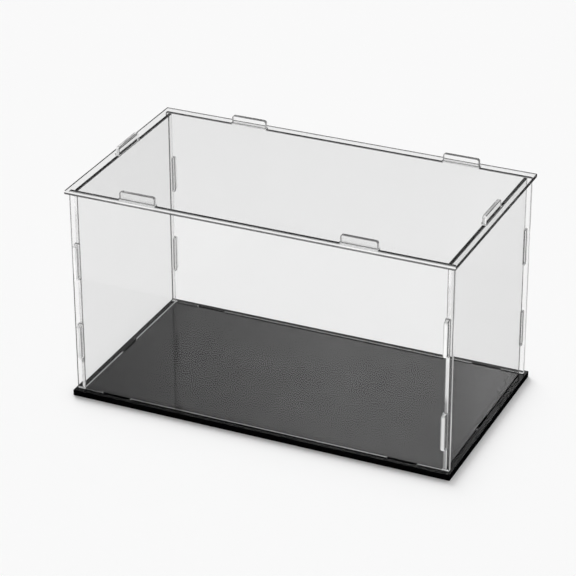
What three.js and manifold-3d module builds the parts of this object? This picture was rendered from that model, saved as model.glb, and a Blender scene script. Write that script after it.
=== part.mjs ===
import * as THREE from 'three';
import Module from 'manifold-3d';
import { mergeVertices } from 'three/addons/utils/BufferGeometryUtils.js';

// A display case of six flat sheets that hold each other by tabs in slots.
// Millimetres, +X to the right, +Y to the back, +Z up.
// The origin is the centre of the base plate's underside.

const wasm = await Module();
wasm.setup();

// Sizes of the sheets
const caseWidth = 310; // base plate and top panel, end to end
const caseDepth = 170; // base plate and top panel, front to back
const wallHeight = 166.2; // base plate to the underside of the top panel
const baseThickness = 4.8;
const sheetThickness = 3; // every clear sheet

// Where the walls stand on the base plate
const faceMargin = 4; // base plate in front of the front panel and behind the back panel
const endMargin = 2; // base plate beyond the ends of the front and back panels
const sideInset = 3; // front and back panels beyond the outer faces of the side panels
const seatGap = 0.3; // air where one sheet bears on another

// Tabs and slots
const slotClearance = 0.25; // all round a tab in its slot
const topTabReach = 6; // top tabs beyond the top panel
const cornerTabReach = 4; // corner tabs beyond the front and back panels
const footRecess = 0.3; // foot tabs end this far above the underside of the base plate
const faceTabLength = 29; // top tabs of the front and back panels
const sideTabLength = 32; // top tabs of the side panels
const cornerTabLength = 29; // tabs on the upright edges of the side panels
const footTabLength = 24.5;
const tabRadius = 2; // rounded corners of the top tabs
const cornerTabRadius = 2;
const footTabRadius = 0.8;
const arcSteps = 6;
const cutOverrun = 1; // slot cutters beyond both faces of a sheet

// Places of the tabs, as shares of the edge that they stand on, counted from its middle
const faceTopShares = [-0.315, 0.262];
const faceFootShares = [-0.392, 0.378];
const sideTopShares = [0.03];
const sideFootShares = [-0.02];

// Heights of the corner tabs, as shares of the height of the panels
const cornerShares = {
  frontLeft: [0.25, 0.66],
  backLeft: [0.264, 0.678],
  frontRight: [0.197, 0.66],
  backRight: [0.236, 0.66],
};

// Distances that follow from the sizes above
const faceWidth = caseWidth - 2 * endMargin;
const outerFaceY = caseDepth / 2 - faceMargin;
const innerFaceY = outerFaceY - sheetThickness;
const faceMiddleY = (outerFaceY + innerFaceY) / 2;
const outerSideX = faceWidth / 2 - sideInset;
const innerSideX = outerSideX - sheetThickness;
const sideMiddleX = (outerSideX + innerSideX) / 2;
const sideDepth = 2 * (innerFaceY - seatGap);
const wallFoot = baseThickness + seatGap;
const panelHeight = wallHeight - 2 * seatGap;
const topUnderside = baseThickness + wallHeight;
const slotWidth = sheetThickness + 2 * slotClearance;
const topReach = seatGap + sheetThickness + topTabReach;
const cornerReach = seatGap + sheetThickness + cornerTabReach;
const footReach = wallFoot - footRecess;

const clearAcrylic = {
  color: 0xf2f6f6,
  roughness: 0.03,
  metalness: 0,
  transparent: true,
  opacity: 0.25,
};
const blackAcrylic = { color: 0x0b0b0c, roughness: 0.12, metalness: 0 };

// A closed mesh as a solid that can be cut
function solidOf(geometry) {
  geometry.deleteAttribute('normal');
  geometry.deleteAttribute('uv');
  const merged = mergeVertices(geometry);
  const solidMesh = new wasm.Mesh({
    numProp: 3,
    vertProperties: new Float32Array(merged.attributes.position.array),
    triVerts: new Uint32Array(merged.index.array),
  });
  return new wasm.Manifold(solidMesh);
}

// A solid as a geometry with flat faces
function geometryOf(solid) {
  const solidMesh = solid.getMesh();
  const shared = new THREE.BufferGeometry();
  shared.setAttribute('position', new THREE.BufferAttribute(solidMesh.vertProperties, 3));
  shared.setIndex(new THREE.BufferAttribute(solidMesh.triVerts, 1));
  const geometry = shared.toNonIndexed();
  geometry.computeVertexNormals();
  return geometry;
}

// Alike tabs along one edge; a share counts from the middle of the edge
function tabsAt(shares, edgeLength, length, reach, radius) {
  return shares.map((share) => ({ place: share * edgeLength, length, reach, radius }));
}

// One straight edge of a sheet, with its tabs standing out on the right-hand side of its direction
function drawEdge(outline, startPoint, endPoint, tabs) {
  const along = endPoint.clone().sub(startPoint).normalize();
  const outward = new THREE.Vector2(along.y, -along.x);
  const middle = startPoint.clone().add(endPoint).divideScalar(2);
  const heading = along.angle();
  const pointAt = (distance, out) => {
    return middle.clone().addScaledVector(along, distance).addScaledVector(outward, out);
  };
  const inOrder = [...tabs].sort((one, other) => one.place - other.place);
  for (const { place, length, reach, radius } of inOrder) {
    const root = pointAt(place - length / 2, 0);
    const firstArc = pointAt(place - length / 2 + radius, reach - radius);
    const secondArc = pointAt(place + length / 2 - radius, reach - radius);
    const foot = pointAt(place + length / 2, 0);
    outline.lineTo(root.x, root.y);
    outline.absarc(firstArc.x, firstArc.y, radius, heading - Math.PI, heading - Math.PI / 2, false);
    outline.absarc(secondArc.x, secondArc.y, radius, heading - Math.PI / 2, heading, false);
    outline.lineTo(foot.x, foot.y);
  }
  outline.lineTo(endPoint.x, endPoint.y);
}

// The outline of a rectangular sheet, anticlockwise from its lower left corner.
// The middle of its lower edge is the sheet's own origin.
function sheetOutline(width, height, tabs = {}) {
  const lowerLeft = new THREE.Vector2(-width / 2, 0);
  const lowerRight = new THREE.Vector2(width / 2, 0);
  const upperRight = new THREE.Vector2(width / 2, height);
  const upperLeft = new THREE.Vector2(-width / 2, height);
  const outline = new THREE.Shape();
  outline.moveTo(lowerLeft.x, lowerLeft.y);
  drawEdge(outline, lowerLeft, lowerRight, tabs.lower ?? []);
  drawEdge(outline, lowerRight, upperRight, tabs.right ?? []);
  drawEdge(outline, upperRight, upperLeft, tabs.upper ?? []);
  drawEdge(outline, upperLeft, lowerLeft, tabs.left ?? []);
  return outline;
}

// A sheet cut to an outline, with rectangular slots through it
function makeSheet(name, outline, slots, thickness, finish) {
  const blank = new THREE.ExtrudeGeometry(outline, {
    depth: thickness,
    bevelEnabled: false,
    curveSegments: arcSteps,
  });
  let solid = solidOf(blank);
  for (const { x, y, width, height } of slots) {
    const cutter = new THREE.BoxGeometry(width, height, thickness + 2 * cutOverrun);
    cutter.translate(x, y, thickness / 2);
    solid = solid.subtract(solidOf(cutter));
  }
  const sheet = new THREE.Mesh(geometryOf(solid), new THREE.MeshStandardMaterial(finish));
  sheet.name = name;
  return sheet;
}

// Slots of a level sheet that take the tabs of the four walls
function wallSlots(faceShares, faceLength, sideShares, sideLength) {
  const slots = [];
  for (const share of faceShares) {
    const place = share * faceWidth;
    const width = faceLength + 2 * slotClearance;
    slots.push({ x: place, y: caseDepth / 2 - faceMiddleY, width, height: slotWidth });
    slots.push({ x: -place, y: caseDepth / 2 + faceMiddleY, width, height: slotWidth });
  }
  for (const share of sideShares) {
    const y = caseDepth / 2 + share * sideDepth;
    const height = sideLength + 2 * slotClearance;
    slots.push({ x: -sideMiddleX, y, width: slotWidth, height });
    slots.push({ x: sideMiddleX, y, width: slotWidth, height });
  }
  return slots;
}

function makeBasePlate() {
  const slots = wallSlots(faceFootShares, footTabLength, sideFootShares, footTabLength);
  const outline = sheetOutline(caseWidth, caseDepth);
  const plate = makeSheet('base_plate', outline, slots, baseThickness, blackAcrylic);
  plate.position.set(0, -caseDepth / 2, 0);
  return plate;
}

function makeTopPanel() {
  const slots = wallSlots(faceTopShares, faceTabLength, sideTopShares, sideTabLength);
  const outline = sheetOutline(caseWidth, caseDepth);
  const panel = makeSheet('top_panel', outline, slots, sheetThickness, clearAcrylic);
  panel.position.set(0, -caseDepth / 2, topUnderside);
  return panel;
}

// Stands a sheet on the base plate, its inner face at a distance from the middle of the case.
// A turn of zero puts it at the front, and its own x then runs to the right, seen from outside.
function standUp(sheet, innerDistance, turn) {
  sheet.rotation.x = Math.PI / 2;
  sheet.position.set(0, -innerDistance, wallFoot);
  const wall = new THREE.Group();
  wall.rotation.z = turn;
  wall.add(sheet);
  return wall;
}

// Front or back panel: the slots near its ends take the corner tabs of the side panels.
// Left and right are as seen from outside.
function makeFacePanel(name, leftShares, rightShares, turn) {
  const upperShares = faceTopShares.map((share) => -share);
  const tabs = {
    lower: tabsAt(faceFootShares, faceWidth, footTabLength, footReach, footTabRadius),
    upper: tabsAt(upperShares, faceWidth, faceTabLength, topReach, tabRadius),
  };
  const slotAt = (x, share) => {
    const height = cornerTabLength + 2 * slotClearance;
    return { x, y: share * panelHeight, width: slotWidth, height };
  };
  const slots = [
    ...leftShares.map((share) => slotAt(-sideMiddleX, share)),
    ...rightShares.map((share) => slotAt(sideMiddleX, share)),
  ];
  const outline = sheetOutline(faceWidth, panelHeight, tabs);
  return standUp(makeSheet(name, outline, slots, sheetThickness, clearAcrylic), innerFaceY, turn);
}

// Side panel: the tabs on its upright edges pass through the front and back panels.
// Left and right are as seen from outside, and backwards is 1 where the back of the case is right.
function makeSidePanel(name, leftShares, rightShares, backwards, turn) {
  const upperShares = sideTopShares.map((share) => -backwards * share);
  const lowerShares = sideFootShares.map((share) => backwards * share);
  const upwardShares = rightShares.map((share) => share - 1 / 2);
  const downwardShares = leftShares.map((share) => 1 / 2 - share);
  const outline = sheetOutline(sideDepth, panelHeight, {
    lower: tabsAt(lowerShares, sideDepth, footTabLength, footReach, footTabRadius),
    right: tabsAt(upwardShares, panelHeight, cornerTabLength, cornerReach, cornerTabRadius),
    upper: tabsAt(upperShares, sideDepth, sideTabLength, topReach, tabRadius),
    left: tabsAt(downwardShares, panelHeight, cornerTabLength, cornerReach, cornerTabRadius),
  });
  return standUp(makeSheet(name, outline, [], sheetThickness, clearAcrylic), innerSideX, turn);
}

const { frontLeft, backLeft, frontRight, backRight } = cornerShares;
const displayCase = new THREE.Group();
displayCase.add(makeBasePlate());
displayCase.add(makeFacePanel('front_panel', frontLeft, frontRight, 0));
displayCase.add(makeFacePanel('back_panel', backRight, backLeft, Math.PI));
displayCase.add(makeSidePanel('left_panel', backLeft, frontLeft, -1, -Math.PI / 2));
displayCase.add(makeSidePanel('right_panel', frontRight, backRight, 1, Math.PI / 2));
displayCase.add(makeTopPanel());

export default displayCase;
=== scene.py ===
import math

import bpy
from mathutils import Matrix, Vector


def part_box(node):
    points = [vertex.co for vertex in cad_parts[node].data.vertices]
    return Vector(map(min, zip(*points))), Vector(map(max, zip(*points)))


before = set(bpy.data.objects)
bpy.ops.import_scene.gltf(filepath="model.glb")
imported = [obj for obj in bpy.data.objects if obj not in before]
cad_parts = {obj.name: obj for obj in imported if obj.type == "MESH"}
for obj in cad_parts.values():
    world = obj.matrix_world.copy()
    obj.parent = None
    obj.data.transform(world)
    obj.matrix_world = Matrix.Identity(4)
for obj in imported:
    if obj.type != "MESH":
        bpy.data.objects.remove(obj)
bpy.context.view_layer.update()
mm = 0.001
print("stage 1: frame loaded with", len(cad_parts), "sheets")


# Small helpers for node trees
def newMaterial(name):
    material = bpy.data.materials.new(name)
    material.use_nodes = True
    material.node_tree.nodes.clear()
    return material, material.node_tree


def addNode(tree, kind, **values):
    node = tree.nodes.new(kind)
    for key, value in values.items():
        setattr(node, key, value)
    return node


def setInput(tree, node, name, value):
    # value is a plain number or colour, or the socket that feeds this input
    socket = node.inputs[name]
    if isinstance(value, bpy.types.NodeSocket):
        tree.links.new(value, socket)
    else:
        socket.default_value = value


def mathNode(tree, operation, first, second=0.0):
    node = addNode(tree, "ShaderNodeMath", operation=operation)
    setInput(tree, node, 0, first)
    setInput(tree, node, 1, second)
    return node.outputs[0]


def mapRange(tree, value, fromMin, fromMax, toMin, toMax):
    node = addNode(tree, "ShaderNodeMapRange", clamp=True)
    setInput(tree, node, "Value", value)
    setInput(tree, node, "From Min", fromMin)
    setInput(tree, node, "From Max", fromMax)
    setInput(tree, node, "To Min", toMin)
    setInput(tree, node, "To Max", toMax)
    return node.outputs["Result"]


def blend(tree, share, atZero, atOne):
    # from one value to the other as the share goes from 0 to 1
    return mapRange(tree, share, 0.0, 1.0, atZero, atOne)


def facingShare(tree, direction, side):
    # how much a direction points towards a side
    node = addNode(tree, "ShaderNodeVectorMath", operation="DOT_PRODUCT")
    tree.links.new(direction, node.inputs[0])
    node.inputs[1].default_value = side
    return node.outputs["Value"]


def alongAxis(tree, vector, axis):
    parts = addNode(tree, "ShaderNodeSeparateXYZ")
    tree.links.new(vector, parts.inputs[0])
    return parts.outputs[axis]


def objectPlace(tree):
    return addNode(tree, "ShaderNodeTexCoord").outputs["Object"]


def mixShaders(tree, share, first, second):
    node = addNode(tree, "ShaderNodeMixShader")
    setInput(tree, node, 0, share)
    tree.links.new(first, node.inputs[1])
    tree.links.new(second, node.inputs[2])
    return node.outputs[0]


def finishTree(tree, look):
    output = addNode(tree, "ShaderNodeOutputMaterial")
    tree.links.new(look, output.inputs["Surface"])


# Camera, at the photograph's viewing angle
camera = {
    "lens": 161.95,
    "sensor": 36.0,
    "clipStart": 0.05,
    "clipEnd": 50.0,
    "target": (-0.00895, -0.00619, 0.08626),
    "distance": 1.96616,
    "azimuth": 24.444,
    "elevation": 27.368,
    "roll": -0.234,
}


def placeCamera(spec):
    azimuth = math.radians(spec["azimuth"])
    elevation = math.radians(spec["elevation"])
    back = Vector((
        math.sin(azimuth) * math.cos(elevation),
        -math.cos(azimuth) * math.cos(elevation),
        math.sin(elevation),
    ))
    data = bpy.data.cameras.new("camera")
    data.lens = spec["lens"]
    data.sensor_width = spec["sensor"]
    data.clip_start = spec["clipStart"]
    data.clip_end = spec["clipEnd"]
    eye = bpy.data.objects.new("camera", data)
    place = Matrix.Translation(Vector(spec["target"]) + back * spec["distance"])
    aim = (-back).to_track_quat("-Z", "Y").to_matrix()
    roll = Matrix.Rotation(math.radians(spec["roll"]), 3, "Z")
    eye.matrix_world = place @ (aim @ roll).to_4x4()
    bpy.context.scene.collection.objects.link(eye)
    bpy.context.scene.camera = eye


placeCamera(camera)
print("stage 2: camera placed")


# Studio: pale floor, pale surroundings and one soft lamp
studio = {
    "floorSize": 30.0,
    "floorColour": (0.95, 0.95, 0.95, 1.0),
    "floorRoughness": 0.9,
    "floorGloss": 0.0,
    "glowColour": (1.0, 1.0, 1.0, 1.0),
    "backdrop": 0.947,     # what the camera sees above the floor
    "fillShare": 0.93,     # share of the surroundings that lights matt surfaces
    "backGlow": 0.72,      # surroundings behind the case
    "frontGlow": 0.4,      # surroundings to the right and in front
    "darkSide": (0.75, -0.66, 0.0),
    "glowFrom": -0.2,
    "glowTo": 0.6,
    "acrossView": (0.911, 0.413, 0.0),
    # places from left to right, each with its share of the glow: 2.4 is a tall soft panel
    "acrossStops": (
        (-0.07, 0.65),
        (0.02, 1.45),
        (0.058, 1.45),
        (0.074, 2.4),
        (0.12, 2.4),
        (0.2, 1.45),
    ),
    "keyStrength": 3.97,
    "keyAngle": 46.0,
    "keyFrom": (-0.55, 0.55, 0.25),
    "bounces": 64,         # light passes many sheet faces
    "clearBounces": 24,
}


def makeFloor(spec):
    half = spec["floorSize"] / 2
    corners = [(-half, -half, 0), (half, -half, 0), (half, half, 0), (-half, half, 0)]
    mesh = bpy.data.meshes.new("studioFloor")
    mesh.from_pydata(corners, [], [(0, 1, 2, 3)])
    floor = bpy.data.objects.new("studioFloor", mesh)
    bpy.context.scene.collection.objects.link(floor)
    material, tree = newMaterial("paleFloor")
    shader = addNode(tree, "ShaderNodeBsdfPrincipled")
    shader.inputs["Base Color"].default_value = spec["floorColour"]
    shader.inputs["Roughness"].default_value = spec["floorRoughness"]
    shader.inputs["Specular IOR Level"].default_value = spec["floorGloss"]
    finishTree(tree, shader.outputs[0])
    mesh.materials.append(material)


def makeSurroundings(spec):
    world = bpy.data.worlds.new("surroundings")
    world.use_nodes = True
    tree = world.node_tree
    tree.nodes.clear()
    outward = addNode(tree, "ShaderNodeTexCoord").outputs["Generated"]
    darkness = facingShare(tree, outward, spec["darkSide"])
    glow = mapRange(tree, darkness, spec["glowFrom"], spec["glowTo"], spec["backGlow"], spec["frontGlow"])
    across = facingShare(tree, outward, spec["acrossView"])
    stops = spec["acrossStops"]
    side = stops[0][1]
    for (fromPlace, fromShare), (toPlace, toShare) in zip(stops, stops[1:]):
        rise = mapRange(tree, across, fromPlace, toPlace, 0.0, toShare - fromShare)
        side = mathNode(tree, "ADD", side, rise)
    path = addNode(tree, "ShaderNodeLightPath")
    fill = blend(tree, path.outputs["Is Diffuse Ray"], 1.0, spec["fillShare"])
    lit = mathNode(tree, "MULTIPLY", mathNode(tree, "MULTIPLY", glow, side), fill)
    seen = blend(tree, path.outputs["Is Camera Ray"], lit, spec["backdrop"])
    background = addNode(tree, "ShaderNodeBackground")
    background.inputs["Color"].default_value = spec["glowColour"]
    tree.links.new(seen, background.inputs["Strength"])
    output = addNode(tree, "ShaderNodeOutputWorld")
    tree.links.new(background.outputs[0], output.inputs["Surface"])
    world.cycles.sampling_method = "NONE"
    bpy.context.scene.world = world


def makeKeyLamp(spec):
    data = bpy.data.lights.new("keyLamp", "SUN")
    data.energy = spec["keyStrength"]
    data.angle = math.radians(spec["keyAngle"])
    data.cycles.use_multiple_importance_sampling = False
    lamp = bpy.data.objects.new("keyLamp", data)
    lamp.rotation_euler = Vector(spec["keyFrom"]).to_track_quat("Z", "Y").to_euler()
    lamp.visible_glossy = False
    lamp.visible_transmission = False
    bpy.context.scene.collection.objects.link(lamp)


makeFloor(studio)
makeSurroundings(studio)
makeKeyLamp(studio)
bpy.context.scene.view_settings.view_transform = "Standard"
bpy.context.scene.cycles.max_bounces = studio["bounces"]
bpy.context.scene.cycles.glossy_bounces = studio["bounces"]
bpy.context.scene.cycles.transmission_bounces = studio["bounces"]
bpy.context.scene.cycles.transparent_max_bounces = studio["clearBounces"]
print("stage 3: studio ready")


# What a sheet's surface is made of: polished faces, cut edges and the arrises between them
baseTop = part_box("base_plate")[1][2]
bearingReach = 1.0 * mm   # beside a seat, up or down
surface = {
    "faceFrom": 0.9,        # share of the normal that runs through the sheet
    "cutBelow": 0.3,
    "levelFrom": 0.6,       # share of the normal that points up or down where an edge runs level
    "totalMirror": 0.999,   # from this share on, no light leaves the sheet
    "bearings": (baseTop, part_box("top_panel")[0][2]),
    "bearingReach": bearingReach,
    "footBelow": baseTop + bearingReach,
    "cloudFrom": 0.3,       # part of the noise that haze and dust go through
    "cloudTo": 0.7,
    "rippleDetail": 1.0,
    "throughShare": 0.5,    # share of the scattered light that goes on through the surface
}

# How the sharp edges of a sheet are taken off
edging = {
    "weldWithin": 0.002 * mm,
    "flatBelow": 1.0,       # degrees between faces that are joined into one
    "sharpFrom": 40.0,      # degrees between faces that get an arris
    "segments": 1,
}


def besideBearings(tree):
    # 1 at the heights where the walls bear on the base plate and carry the top panel
    height = alongAxis(tree, objectPlace(tree), "Z")
    beside = 0.0
    for bearing in surface["bearings"]:
        away = mathNode(tree, "ABSOLUTE", mathNode(tree, "SUBTRACT", height, bearing))
        beside = mathNode(tree, "ADD", beside, mathNode(tree, "LESS_THAN", away, surface["bearingReach"]))
    return beside


def surfaceShares(tree, axis):
    # where the surface faces, and sockets that are 1 on one part of it, or seen from inside
    geometry = addNode(tree, "ShaderNodeNewGeometry")
    normal = geometry.outputs["True Normal"]
    through = mathNode(tree, "ABSOLUTE", alongAxis(tree, normal, axis))
    face = mathNode(tree, "GREATER_THAN", through, surface["faceFrom"])
    cut = mathNode(tree, "LESS_THAN", through, surface["cutBelow"])
    arris = mathNode(tree, "SUBTRACT", mathNode(tree, "SUBTRACT", 1.0, face), cut)
    upward = mathNode(tree, "ABSOLUTE", alongAxis(tree, normal, "Z"))
    level = mathNode(tree, "GREATER_THAN", upward, surface["levelFrom"])
    bearing = mathNode(tree, "MULTIPLY", level, besideBearings(tree))
    return {
        "normal": normal,
        "across": mathNode(tree, "ABSOLUTE", alongAxis(tree, normal, "X")),
        "cut": cut,
        "bearingCut": mathNode(tree, "MULTIPLY", bearing, cut),
        "arris": arris,
        "bearingArris": mathNode(tree, "MULTIPLY", bearing, arris),
        "inside": geometry.outputs["Backfacing"],
    }


def pick(tree, shares, onFace, onCut, onBearing):
    # one value for polished faces, one for cut edges and one for the cut edges that bear
    plain = blend(tree, shares["cut"], onFace, onCut)
    return blend(tree, shares["bearingCut"], plain, onBearing)


def clouds(tree, size, thin, thick):
    # soft clouds between two values
    noise = addNode(tree, "ShaderNodeTexNoise")
    noise.inputs["Scale"].default_value = 1 / size
    tree.links.new(objectPlace(tree), noise.inputs["Vector"])
    return mapRange(tree, noise.outputs["Fac"], surface["cloudFrom"], surface["cloudTo"], thin, thick)


def rippledNormal(tree, axis, share, spec):
    # the fine ripple that the cutter leaves runs straight through the sheet
    flat = addNode(tree, "ShaderNodeVectorMath", operation="MULTIPLY")
    tree.links.new(objectPlace(tree), flat.inputs[0])
    flat.inputs[1].default_value = [0.0 if letter == axis else 1.0 for letter in "XYZ"]
    ripple = addNode(tree, "ShaderNodeTexNoise")
    tree.links.new(flat.outputs[0], ripple.inputs["Vector"])
    ripple.inputs["Scale"].default_value = 1 / spec["rippleSize"]
    ripple.inputs["Detail"].default_value = surface["rippleDetail"]
    bump = addNode(tree, "ShaderNodeBump")
    bump.inputs["Distance"].default_value = spec["rippleDepth"]
    setInput(tree, bump, "Strength", share)
    tree.links.new(ripple.outputs["Fac"], bump.inputs["Height"])
    return bump.outputs["Normal"]


def objectReach(tree, axis):
    # distance of a point from the middle of the case, along one axis
    return mathNode(tree, "ABSOLUTE", alongAxis(tree, objectPlace(tree), axis))


def within(tree, reachX, reachY):
    # 1 where a point is nearer the middle of the case than both distances
    beside = mathNode(tree, "LESS_THAN", objectReach(tree, "X"), reachX)
    between = mathNode(tree, "LESS_THAN", objectReach(tree, "Y"), reachY)
    return mathNode(tree, "MULTIPLY", beside, between)


def softenEdges(sheet, width):
    weld = sheet.modifiers.new("weld", "WELD")
    weld.merge_threshold = edging["weldWithin"]
    flat = sheet.modifiers.new("joinFlat", "DECIMATE")
    flat.decimate_type = "DISSOLVE"
    flat.angle_limit = math.radians(edging["flatBelow"])
    bevel = sheet.modifiers.new("arris", "BEVEL")
    bevel.width = width
    bevel.segments = edging["segments"]
    bevel.limit_method = "ANGLE"
    bevel.angle_limit = math.radians(edging["sharpFrom"])
    bevel.face_strength_mode = "FSTR_ALL"
    even = sheet.modifiers.new("evenShading", "WEIGHTED_NORMAL")
    even.use_face_influence = True
    even.keep_sharp = False


def finishSheet(node, material, width):
    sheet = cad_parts[node]
    sheet.material_slots[0].material = material
    softenEdges(sheet, width)


# Clear sheets
nearEdge = 1.0 * mm
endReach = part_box("front_panel")[1][0] - nearEdge
topReach = [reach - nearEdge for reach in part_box("top_panel")[1][:2]]
beyondCase = 1.0   # metres, farther out than any sheet
neverPainted = 2.0     # no surface faces a side as much as this

# front and back panels
clearFace = {
    "axis": "Y",
    "inner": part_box("back_panel")[0][1],   # inner face, from the middle of the case
    "ior": 1.49,
    "clearness": (0.992, 0.97, 0.35),   # what passes a face, a cut edge and a bearing edge
    "gloss": 0.6,                       # share of the full surface reflection
    "mirror": (0.3, 0.3, 0.05),         # how much of it each of the three sends back
    "innerMirror": (1.0, 0.97, 0.95),   # the same where all light stays in the sheet
    "roughness": (0.0, 0.12, 0.03),
    "cutScatter": (0.0, 0.5, 0.0),
    "cutGrey": 0.95,
    "insideGrey": 0.12,                 # cut edges seen through the sheet
    "rimWidth": 0.0,                    # painted shade: a dark line along the inner side of the cut edges
    "rimWidthAcross": 0.0,              # the same on the edges that face left and right
    "rimShadeGrey": 0.15,
    "rimShadeGreyAcross": 0.15,
    "rimScatter": 0.7,
    "arrisScatter": 0.85,
    "arrisLightShadeGrey": (0.22, 0.22),          # inner and outer: painted shade and painted highlight on the ground arris
    "bearingArrisShadeGrey": 0.3,            # painted shade under the top panel
    "footArrisLightShadeGrey": 0.05,              # painted contact shade on the base plate
    "slotsWithin": (endReach, beyondCase),   # nearer the middle lie the slots and the upper tabs
    "slotScatter": 0.15,
    "slotGrey": 0.5,
    "beyondGrey": 0.12,                 # arrises farther out
    # arrises that face this side get a painted highlight or painted shade
    "paintedLightShadeSide": (0.0, -0.8, 0.6),
    "paintedLightShadeFrom": neverPainted,
    "paintedLightShadeGrey": 0.8,
    "endsFrom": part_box("right_panel")[0][0],   # beyond this the feet of the panel get a painted highlight
    "endHighlightGrey": 0.9,
    "hazeColour": (0.9, 0.9, 0.9, 1.0),
    "hazeShare": (0.002, 0.012),
    "hazeSize": 40 * mm,
    "rippleSize": 0.8 * mm,
    "rippleDepth": 0.006 * mm,
    "arris": 0.45 * mm,
}

# side panels, and what the left and the right one have of their own
clearSide = {
    **clearFace,
    "axis": "X",
    "inner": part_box("right_panel")[0][0],
    "clearness": (0.992, 0.97, 0.04),
    "bearingArrisShadeGrey": 0.05,
    "cutScatter": (0.0, 0.7, 0.0),
    "insideGrey": 0.8,
    "rimWidth": 0.7 * mm,
    # painted shade on the inner arrises, painted highlight on the outer ones
    "arrisLightShadeGrey": (0.15, 0.8),
    "slotScatter": 0.3,
    "slotsWithin": (beyondCase, clearFace["inner"]),   # farther out are the corner tabs
    "beyondGrey": 0.75,
    "endsFrom": beyondCase,
}
clearLeft = {
    **clearSide,
    "roughness": (0.0, 0.12, 0.0),
    # painted highlight on the left panel's foot arris
    "footArrisLightShadeGrey": 0.7,
}
clearRight = {
    **clearSide,
    "gloss": 0.35,
    "mirror": (0.12, 0.3, 0.05),
    # painted contact shade: the right panel's bearing edges reflect almost nothing
    "innerMirror": (1.0, 0.97, 0.03),
    "paintedLightShadeSide": (0.7, 0.0, 0.7),
    "paintedLightShadeFrom": 0.9,                     # painted shade: the outer arris of the top tab is dark
    "paintedLightShadeGrey": 0.1,
}

# top panel
clearTop = {
    **clearFace,
    "axis": "Z",
    "inner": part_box("top_panel")[0][2],
    "clearness": (0.992, 0.9, 0.9),
    "gloss": 0.5,
    "mirror": (0.15, 0.15, 0.15),
    "innerMirror": (1.0, 0.9, 0.9),
    "cutScatter": (0.0, 0.8, 0.0),
    "insideGrey": 0.04,
    "rimWidth": 1.7 * mm,
    # a near-black painted shade band along the top panel's edges that face left and right
    "rimWidthAcross": 3.0 * mm,
    "rimShadeGreyAcross": 0.03,
    "arrisScatter": 1.0,
    # near-black painted shade lines on the top panel's arrises
    "arrisLightShadeGrey": (0.03, 0.03),
    "bearingArrisShadeGrey": 0.03,
    "paintedLightShadeFrom": 0.5,                     # painted highlight on the upper arris at the front
    "hazeShare": (0.001, 0.006),
    "slotsWithin": topReach,
    "beyondGrey": 0.03,
    "endsFrom": beyondCase,
}


def scatterShader(tree, colour):
    # light that a ground surface sends back and lets through
    back = addNode(tree, "ShaderNodeBsdfDiffuse")
    through = addNode(tree, "ShaderNodeBsdfTranslucent")
    for shader in (back, through):
        setInput(tree, shader, "Color", colour)
    return mixShaders(tree, surface["throughShare"], back.outputs[0], through.outputs[0])


def clearSolid(tree, shares, spec):
    # refraction and a dimmed reflection, which is whole where all light stays in the sheet
    normal = rippledNormal(tree, spec["axis"], shares["cut"], spec)
    roughness = pick(tree, shares, *spec["roughness"])
    refracted = addNode(tree, "ShaderNodeBsdfRefraction")
    refracted.inputs["IOR"].default_value = spec["ior"]
    setInput(tree, refracted, "Color", pick(tree, shares, *spec["clearness"]))
    fresnel = addNode(tree, "ShaderNodeFresnel")
    fresnel.inputs["IOR"].default_value = spec["ior"]
    total = mathNode(tree, "GREATER_THAN", fresnel.outputs[0], surface["totalMirror"])
    inner = pick(tree, shares, *spec["innerMirror"])
    outer = pick(tree, shares, *spec["mirror"])
    glossy = addNode(tree, "ShaderNodeBsdfAnisotropic")
    setInput(tree, glossy, "Color", blend(tree, total, outer, inner))
    for shader in (refracted, glossy):
        setInput(tree, shader, "Roughness", roughness)
    for shader in (refracted, glossy, fresnel):
        setInput(tree, shader, "Normal", normal)
    gloss = blend(tree, total, spec["gloss"], 1.0)
    reflected = mathNode(tree, "MULTIPLY", fresnel.outputs[0], gloss)
    return mixShaders(tree, reflected, refracted.outputs[0], glossy.outputs[0])


def addHaze(tree, shares, look, spec):
    # a trace of haze on the outside of the sheet
    clouded = clouds(tree, spec["hazeSize"], *spec["hazeShare"])
    share = blend(tree, shares["inside"], clouded, 0.0)
    haze = addNode(tree, "ShaderNodeBsdfDiffuse")
    haze.inputs["Color"].default_value = spec["hazeColour"]
    return mixShaders(tree, share, look, haze.outputs[0])


def addCutEdges(tree, shares, look, spec):
    # whitish cut edges, grey from inside, with a painted shade line along their inner side
    reach = objectReach(tree, spec["axis"])
    across = mathNode(tree, "GREATER_THAN", shares["across"], surface["faceFrom"])
    along, beside = [spec["inner"] + spec[name] for name in ("rimWidth", "rimWidthAcross")]
    rim = mathNode(tree, "LESS_THAN", reach, blend(tree, across, along, beside))
    lineGrey = blend(tree, across, spec["rimShadeGrey"], spec["rimShadeGreyAcross"])
    outside = blend(tree, rim, spec["cutGrey"], lineGrey)
    slot = within(tree, *spec["slotsWithin"])
    inside = blend(tree, slot, spec["insideGrey"], spec["slotGrey"])
    grey = blend(tree, shares["inside"], outside, inside)
    whole = pick(tree, shares, *spec["cutScatter"])
    slotted = mathNode(tree, "MINIMUM", whole, spec["slotScatter"])
    whole = blend(tree, slot, whole, slotted)
    lined = mathNode(tree, "MULTIPLY", mathNode(tree, "MULTIPLY", rim, shares["cut"]), spec["rimScatter"])
    share = mathNode(tree, "MAXIMUM", whole, lined)
    return mixShaders(tree, share, look, scatterShader(tree, grey))


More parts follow.
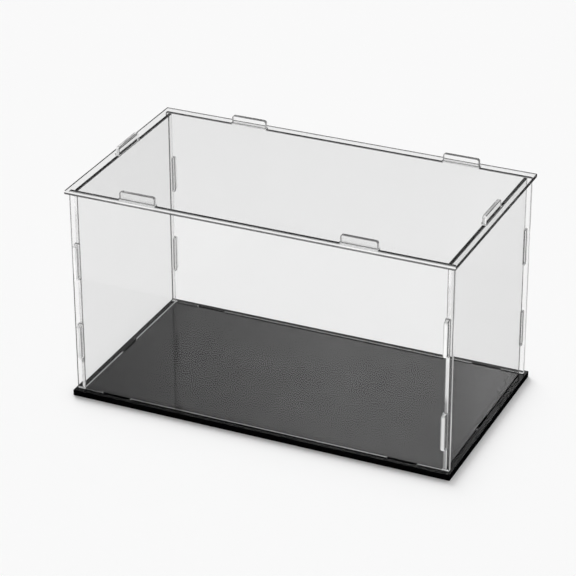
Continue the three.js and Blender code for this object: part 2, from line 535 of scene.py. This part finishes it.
def addArrises(tree, shares, look, spec):
    # ground arrises; their greys inside and out, at the seats, at the ends and towards one side are
    # painted light and shade
    outer = mathNode(tree, "GREATER_THAN", objectReach(tree, spec["axis"]), spec["inner"] + spec["arris"])
    grey = blend(tree, outer, *spec["arrisLightShadeGrey"])
    grey = blend(tree, within(tree, *spec["slotsWithin"]), spec["beyondGrey"], grey)
    # painted shade, or a painted highlight, where the arrises meet the seats
    atFoot = mathNode(tree, "LESS_THAN", objectReach(tree, "Z"), surface["footBelow"])
    bearing = blend(tree, atFoot, spec["bearingArrisShadeGrey"], spec["footArrisLightShadeGrey"])
    grey = blend(tree, shares["bearingArris"], grey, bearing)
    # painted highlight or painted shade on the arrises that face one side
    facing = facingShare(tree, shares["normal"], spec["paintedLightShadeSide"])
    lit = mathNode(tree, "GREATER_THAN", facing, spec["paintedLightShadeFrom"])
    grey = blend(tree, lit, grey, spec["paintedLightShadeGrey"])
    # painted highlight at the ends of the panel feet
    atEnd = mathNode(tree, "GREATER_THAN", objectReach(tree, "X"), spec["endsFrom"])
    grey = blend(tree, mathNode(tree, "MULTIPLY", atEnd, atFoot), grey, spec["endHighlightGrey"])
    share = mathNode(tree, "MULTIPLY", shares["arris"], spec["arrisScatter"])
    return mixShaders(tree, share, look, scatterShader(tree, grey))


def makeClearMaterial(name, spec):
    material, tree = newMaterial(name)
    shares = surfaceShares(tree, spec["axis"])
    look = clearSolid(tree, shares, spec)
    look = addHaze(tree, shares, look, spec)
    look = addCutEdges(tree, shares, look, spec)
    look = addArrises(tree, shares, look, spec)
    # shadow and diffuse rays pass straight through, so the case casts no bright spots
    clear = addNode(tree, "ShaderNodeBsdfTransparent")
    path = addNode(tree, "ShaderNodeLightPath")
    unseen = mathNode(tree, "MAXIMUM", path.outputs["Is Shadow Ray"], path.outputs["Is Diffuse Ray"])
    finishTree(tree, mixShaders(tree, unseen, look, clear.outputs[0]))
    return material


faceMaterial = makeClearMaterial("clearAcrylicFrontBack", clearFace)
clearMaterials = {
    "front_panel": faceMaterial,
    "back_panel": faceMaterial,
    "left_panel": makeClearMaterial("clearAcrylicLeft", clearLeft),
    "right_panel": makeClearMaterial("clearAcrylicRight", clearRight),
    "top_panel": makeClearMaterial("clearAcrylicTop", clearTop),
}
for node, material in clearMaterials.items():
    finishSheet(node, material, clearFace["arris"])
print("stage 4: clear sheets finished")


# Black base plate
blackSheet = {
    "colour": (0.002, 0.002, 0.0022, 1.0),
    "ior": 1.49,
    "dustSize": 25 * mm,
    "roughness": (0.0, 0.025),   # clean and dusty
    "gloss": 0.58,
    "rimRoughness": 0.06,        # outside the walls
    "rimGloss": 0.1,
    "cutRoughness": 0.35,
    "cutGloss": 0.0,
    "rippleSize": 0.9 * mm,
    "rippleDepth": 0.01 * mm,
    "arris": 0.25 * mm,
}


def blackShader(tree, spec, normal, roughness, gloss):
    shader = addNode(tree, "ShaderNodeBsdfPrincipled")
    shader.inputs["Base Color"].default_value = spec["colour"]
    shader.inputs["IOR"].default_value = spec["ior"]
    shader.inputs["Specular IOR Level"].default_value = gloss
    setInput(tree, shader, "Roughness", roughness)
    setInput(tree, shader, "Normal", normal)
    return shader.outputs[0]


def makeBlackMaterial(spec):
    material, tree = newMaterial("blackAcrylic")
    shares = surfaceShares(tree, "Z")
    edge = mathNode(tree, "ADD", shares["cut"], shares["arris"])
    normal = rippledNormal(tree, "Z", edge, spec)
    dusted = clouds(tree, spec["dustSize"], *spec["roughness"])
    polished = blackShader(tree, spec, normal, dusted, spec["gloss"])
    rim = blackShader(tree, spec, normal, spec["rimRoughness"], spec["rimGloss"])
    cutEdge = blackShader(tree, spec, normal, spec["cutRoughness"], spec["cutGloss"])
    insideWalls = within(tree, clearSide["inner"], clearFace["inner"])
    look = mixShaders(tree, insideWalls, rim, polished)
    finishTree(tree, mixShaders(tree, edge, look, cutEdge))
    return material


finishSheet("base_plate", makeBlackMaterial(blackSheet), blackSheet["arris"])
print("stage 5: base plate finished")
